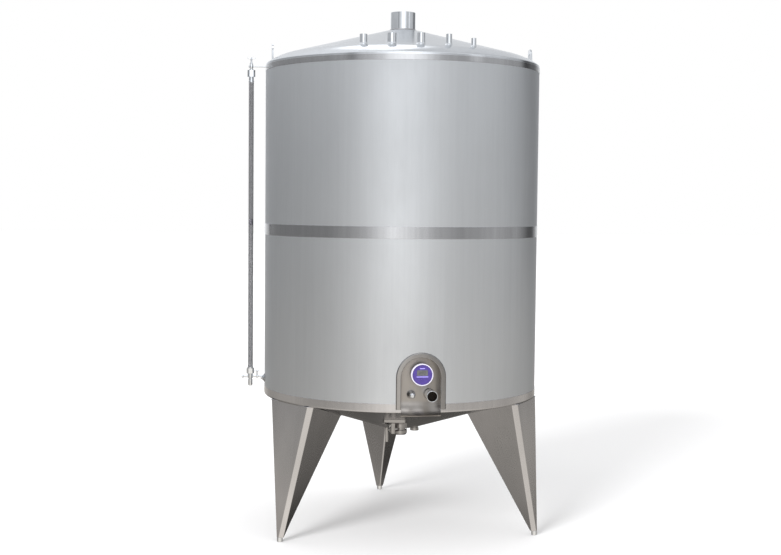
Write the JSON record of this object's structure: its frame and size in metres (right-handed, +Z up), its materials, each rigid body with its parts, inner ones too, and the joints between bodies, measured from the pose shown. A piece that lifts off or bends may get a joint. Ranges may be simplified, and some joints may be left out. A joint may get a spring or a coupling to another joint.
{
  "type": "vertical storage tank",
  "caption": "Insulated upright round tank on tapered folded legs, with a cone roof, roof nozzles, lifting lugs, a level gauge, a thermometer niche with an outlet, and a bottom drain valve.",
  "frame": {"origin": "middle of the bounding box, at floor level under the feet", "axes": "+Z up along the tank; -Y towards the front, where the niche is; -X towards the level gauge"},
  "size_m": [1.5196, 1.504, 2.634],
  "materials": {
    "satin_steel": "satin",
    "polished_steel": "polished",
    "gauge_glass": "clear",
    "white_plastic": "matte",
    "violet_plastic": "matte"
  },
  "bodies": {
    "tank": {"upper_wall_front": "satin_steel", "upper_wall_right": "satin_steel", "upper_wall_back": "satin_steel", "upper_wall_left": "satin_steel", "lower_wall_front": "satin_steel", "lower_wall_right": "satin_steel", "lower_wall_back": "satin_steel", "lower_wall_left": "satin_steel", "middle_band": "polished_steel", "top_ring": "polished_steel", "bottom_ring": "polished_steel", "niche_frame": "satin_steel", "niche_apron": "satin_steel", "roof": "satin_steel", "neck_pipe": "satin_steel", "roof_nozzle_1": "satin_steel", "roof_nozzle_2": "satin_steel", "roof_nozzle_3": "satin_steel", "roof_nozzle_4": "satin_steel", "roof_nozzle_5": "satin_steel", "lifting_lug_left": "satin_steel", "lifting_lug_right": "satin_steel", "bottom_cone": "satin_steel", "leg_back": "satin_steel", "leg_left": "satin_steel", "leg_right": "satin_steel", "foot_back": "satin_steel", "foot_left": "satin_steel", "foot_right": "satin_steel", "outlet_pipe": "satin_steel", "sample_stub": "satin_steel", "thermometer_case": "white_plastic", "thermometer_face": "violet_plastic", "gauge_lower_fitting": "satin_steel", "gauge_lower_nut": "satin_steel", "gauge_tube": "gauge_glass", "gauge_float": "white_plastic", "gauge_upper_nut": "satin_steel", "gauge_upper_fitting": "satin_steel", "drain_valve": "satin_steel", "drain_bracket": "satin_steel", "drain_stub": "satin_steel"},
    "drain_lever": {"drain_lever": "satin_steel"},
    "gauge_upper_handle": {"gauge_upper_handle": "satin_steel"},
    "gauge_lower_handle": {"gauge_lower_handle": "satin_steel"}
  },
  "joints": [
    {"name": "drain_lever_turn", "type": "hinge", "parent": "tank", "child": "drain_lever", "pos_m": [-0.03525, -0.285, 0.533], "axis": [-1, 0, 0], "range_deg": [0, 90]},
    {"name": "gauge_upper_turn", "type": "hinge", "parent": "tank", "child": "gauge_upper_handle", "pos_m": [-0.71525, 0, 2.37], "axis": [0, 0, 1], "range_deg": [0, 90]},
    {"name": "gauge_lower_turn", "type": "hinge", "parent": "tank", "child": "gauge_lower_handle", "pos_m": [-0.68075, 0, 0.785], "axis": [0, 0, 1], "range_deg": [0, 90]}
  ]
}
